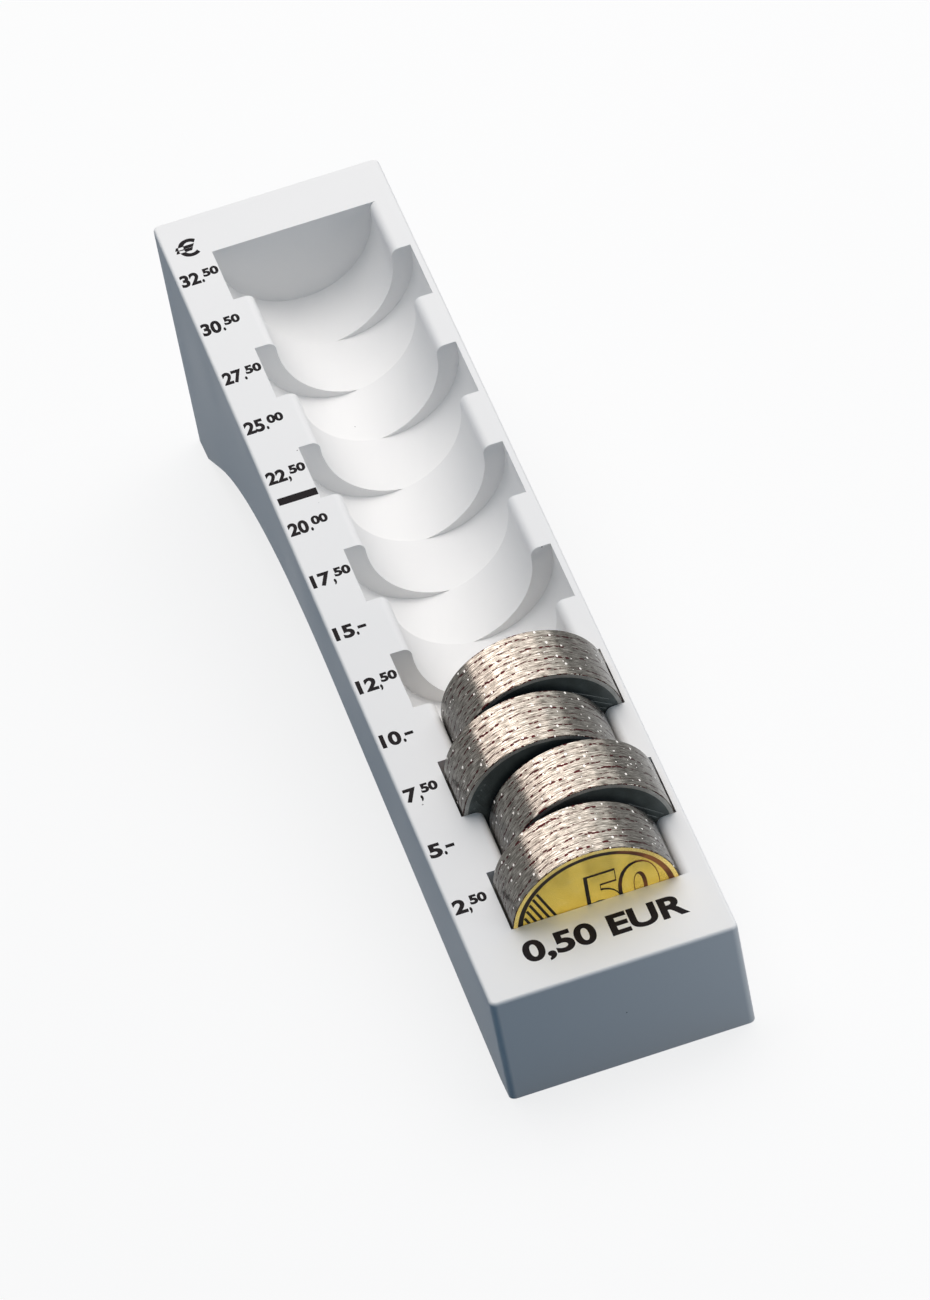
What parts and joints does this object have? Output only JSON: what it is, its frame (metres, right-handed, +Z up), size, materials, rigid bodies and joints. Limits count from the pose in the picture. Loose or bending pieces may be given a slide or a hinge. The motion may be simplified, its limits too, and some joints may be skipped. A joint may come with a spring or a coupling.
{
  "type": "coin counting tray",
  "caption": "Narrow sloping desk tray with a stepped channel that counts coins in stacks by its printed scale, with coins in its four front pockets.",
  "frame": {"origin": "middle of the bounding box at the bench, under the tray", "axes": "+Y to the high rear end, +X to the right seen from the low front end, +Z up"},
  "size_m": [0.0356, 0.1882, 0.0444],
  "materials": {
    "tray": "satin moulded plastic",
    "coin": "worn struck metal"
  },
  "bodies": {
    "tray": {"tray_body": "tray"},
    "coin_01": {"coin_01": "coin"},
    "coin_02": {"coin_02": "coin"},
    "coin_03": {"coin_03": "coin"},
    "coin_04": {"coin_04": "coin"},
    "coin_05": {"coin_05": "coin"},
    "coin_06": {"coin_06": "coin"},
    "coin_07": {"coin_07": "coin"},
    "coin_08": {"coin_08": "coin"},
    "coin_09": {"coin_09": "coin"},
    "coin_10": {"coin_10": "coin"},
    "coin_11": {"coin_11": "coin"},
    "coin_12": {"coin_12": "coin"},
    "coin_13": {"coin_13": "coin"},
    "coin_14": {"coin_14": "coin"},
    "coin_15": {"coin_15": "coin"},
    "coin_16": {"coin_16": "coin"}
  },
  "joints": [
    {"name": "coin_01_lift", "type": "slide", "parent": "tray", "child": "coin_01", "axis": [0, -0.2487, 0.9686], "range_m": [0, 0.03]},
    {"name": "coin_02_lift", "type": "slide", "parent": "tray", "child": "coin_02", "axis": [0, -0.2487, 0.9686], "range_m": [0, 0.03]},
    {"name": "coin_03_lift", "type": "slide", "parent": "tray", "child": "coin_03", "axis": [0, -0.2487, 0.9686], "range_m": [0, 0.03]},
    {"name": "coin_04_lift", "type": "slide", "parent": "tray", "child": "coin_04", "axis": [0, -0.2487, 0.9686], "range_m": [0, 0.03]},
    {"name": "coin_05_lift", "type": "slide", "parent": "tray", "child": "coin_05", "axis": [0, -0.2487, 0.9686], "range_m": [0, 0.03]},
    {"name": "coin_06_lift", "type": "slide", "parent": "tray", "child": "coin_06", "axis": [0, -0.2487, 0.9686], "range_m": [0, 0.03]},
    {"name": "coin_07_lift", "type": "slide", "parent": "tray", "child": "coin_07", "axis": [0, -0.2487, 0.9686], "range_m": [0, 0.03]},
    {"name": "coin_08_lift", "type": "slide", "parent": "tray", "child": "coin_08", "axis": [0, -0.2487, 0.9686], "range_m": [0, 0.03]},
    {"name": "coin_09_lift", "type": "slide", "parent": "tray", "child": "coin_09", "axis": [0, -0.2487, 0.9686], "range_m": [0, 0.03]},
    {"name": "coin_10_lift", "type": "slide", "parent": "tray", "child": "coin_10", "axis": [0, -0.2487, 0.9686], "range_m": [0, 0.03]},
    {"name": "coin_11_lift", "type": "slide", "parent": "tray", "child": "coin_11", "axis": [0, -0.2487, 0.9686], "range_m": [0, 0.03]},
    {"name": "coin_12_lift", "type": "slide", "parent": "tray", "child": "coin_12", "axis": [0, -0.2487, 0.9686], "range_m": [0, 0.03]},
    {"name": "coin_13_lift", "type": "slide", "parent": "tray", "child": "coin_13", "axis": [0, -0.2487, 0.9686], "range_m": [0, 0.03]},
    {"name": "coin_14_lift", "type": "slide", "parent": "tray", "child": "coin_14", "axis": [0, -0.2487, 0.9686], "range_m": [0, 0.03]},
    {"name": "coin_15_lift", "type": "slide", "parent": "tray", "child": "coin_15", "axis": [0, -0.2487, 0.9686], "range_m": [0, 0.03]},
    {"name": "coin_16_lift", "type": "slide", "parent": "tray", "child": "coin_16", "axis": [0, -0.2487, 0.9686], "range_m": [0, 0.03]}
  ]
}
